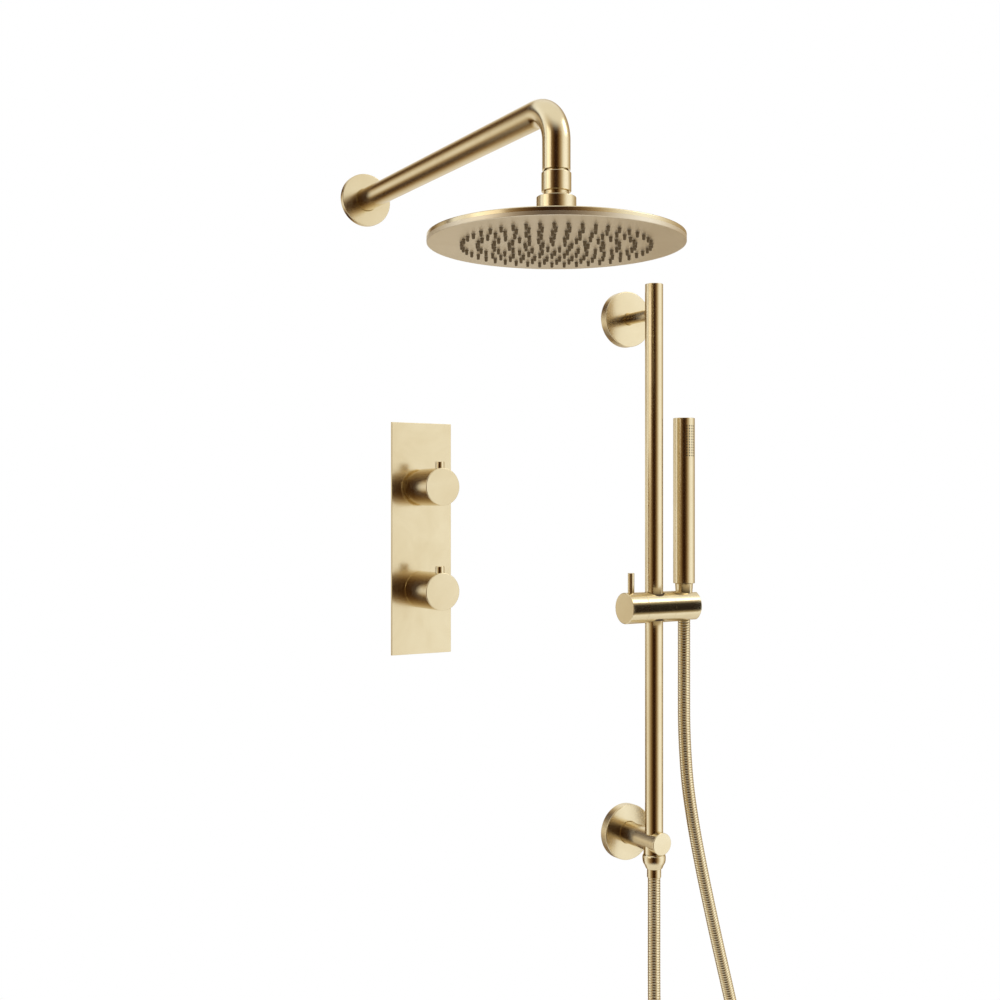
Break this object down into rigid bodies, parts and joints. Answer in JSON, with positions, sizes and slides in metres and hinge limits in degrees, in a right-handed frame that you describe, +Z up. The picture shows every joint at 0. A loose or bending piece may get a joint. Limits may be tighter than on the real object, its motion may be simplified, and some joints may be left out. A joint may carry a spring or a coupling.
{
  "type": "rainfall shower column",
  "caption": "Wall-mounted rain shower set: overhead arm and round rain head, concealed mixing valve with knobs, and a slide rail with a baton handset and metal hose.",
  "frame": {"origin": "centre of the valve plate's back face, on the finished wall surface", "axes": "+X to the right, +Y into the wall (the room is at -Y), +Z up"},
  "size_m": [0.5664, 0.5239, 1.1576],
  "materials": {
    "satin_brass": "satin brushed brass",
    "raw_brass": "as cast and turned brass, hidden in the wall",
    "steel": "stainless screws",
    "seal_rubber": "black sealing rubber",
    "nozzle_silicone": "grey-brown silicone nozzles",
    "white_plastic": "low-friction white plastic",
    "dark_plastic": "dark plastic liner",
    "hose_cladding": "brass-coloured interlocked metal hose cladding"
  },
  "bodies": {
    "root": {"arm_wall_flange": "satin_brass", "arm_tube": "satin_brass", "swivel_collar": "satin_brass", "swivel_ball": "satin_brass", "valve_plate": "satin_brass", "flow_collar": "satin_brass", "rail_tube": "satin_brass", "rail_top_cap": "satin_brass", "top_flange": "satin_brass", "top_post": "satin_brass", "outlet_flange": "satin_brass", "outlet_post": "satin_brass", "outlet_end_cap": "satin_brass", "lower_hose_nut": "satin_brass", "lower_hose_ferrule": "satin_brass", "arm_inlet_nipple": "raw_brass", "flow_cartridge": "raw_brass", "temp_cartridge": "raw_brass", "valve_body": "raw_brass", "cold_inlet_union": "raw_brass", "hot_inlet_union": "raw_brass", "head_outlet_union": "raw_brass", "handset_outlet_union": "raw_brass", "top_wall_boss": "raw_brass", "outlet_wall_nipple": "raw_brass", "top_wall_screw": "steel", "arm_flange_seal": "seal_rubber", "plate_gasket": "seal_rubber", "outlet_check_valve": "white_plastic", "temp_stop_ring": "dark_plastic", "hose_falling_run": "hose_cladding", "hose_rising_run": "hose_cladding"},
    "swivel_pitch": {"swivel_lower_seat": "white_plastic"},
    "swivel_roll": {"swivel_upper_seat": "white_plastic"},
    "rain_head": {"swivel_cap": "satin_brass", "head_top_shell": "satin_brass", "head_face_plate": "satin_brass", "nozzle_mat": "nozzle_silicone", "head_gasket": "seal_rubber", "head_flow_filter": "white_plastic"},
    "flow_control": {"flow_knob": "satin_brass", "flow_knob_pin": "satin_brass", "flow_knob_screw": "steel", "flow_spindle": "raw_brass"},
    "temp_control": {"temp_knob": "satin_brass", "temp_knob_pin": "satin_brass", "temp_knob_screw": "steel", "temp_spindle": "raw_brass"},
    "slider": {"slider_body": "satin_brass", "slider_bush": "dark_plastic", "hose_swing_run": "hose_cladding"},
    "clamp": {"clamp_knob": "satin_brass", "clamp_pin": "satin_brass", "clamp_screw": "steel"},
    "holder": {"handset_holder": "satin_brass", "hose_top_run": "hose_cladding"},
    "handset": {"handset_body": "satin_brass", "handset_end_cap": "satin_brass", "handset_liner": "white_plastic", "upper_hose_nut": "satin_brass"}
  },
  "joints": [
    {"name": "head_pitch", "type": "hinge", "parent": "root", "child": "swivel_pitch", "pos_m": [-0.0637, -0.3579, 0.264], "axis": [1, 0, 0], "range_deg": [-8.5, 8.5]},
    {"name": "head_roll", "type": "hinge", "parent": "swivel_pitch", "child": "swivel_roll", "pos_m": [-0.0637, -0.3579, 0.264], "axis": [0, 1, 0], "range_deg": [-8.5, 8.5]},
    {"name": "head_spin", "type": "hinge", "parent": "swivel_roll", "child": "rain_head", "pos_m": [-0.0637, -0.3579, 0.264], "axis": [0, 0, 1], "continuous": true},
    {"name": "flow_knob_turn", "type": "hinge", "parent": "root", "child": "flow_control", "pos_m": [0, -0.025, 0.0528], "axis": [0, 1, 0], "range_deg": [-90, 90]},
    {"name": "temp_knob_turn", "type": "hinge", "parent": "root", "child": "temp_control", "pos_m": [0, -0.025, -0.0528], "axis": [0, 1, 0], "range_deg": [-120, 60]},
    {"name": "slider_slide", "type": "slide", "parent": "root", "child": "slider", "axis": [0, 0, 1], "range_m": [-0.215, 0.285], "deforming": ["hose_rising_run"]},
    {"name": "clamp_turn", "type": "hinge", "parent": "slider", "child": "clamp", "pos_m": [0.2584, -0.058, -0.0777], "axis": [1, 0, 0], "range_deg": [0, 75]},
    {"name": "holder_tilt", "type": "hinge", "parent": "slider", "child": "holder", "pos_m": [0.2584, -0.058, -0.0777], "axis": [1, 0, 0], "range_deg": [-10, 27], "deforming": ["hose_swing_run"]},
    {"name": "handset_lift", "type": "slide", "parent": "holder", "child": "handset", "axis": [0, 0, 1], "range_m": [0, 0.04], "deforming": ["hose_top_run"]}
  ]
}
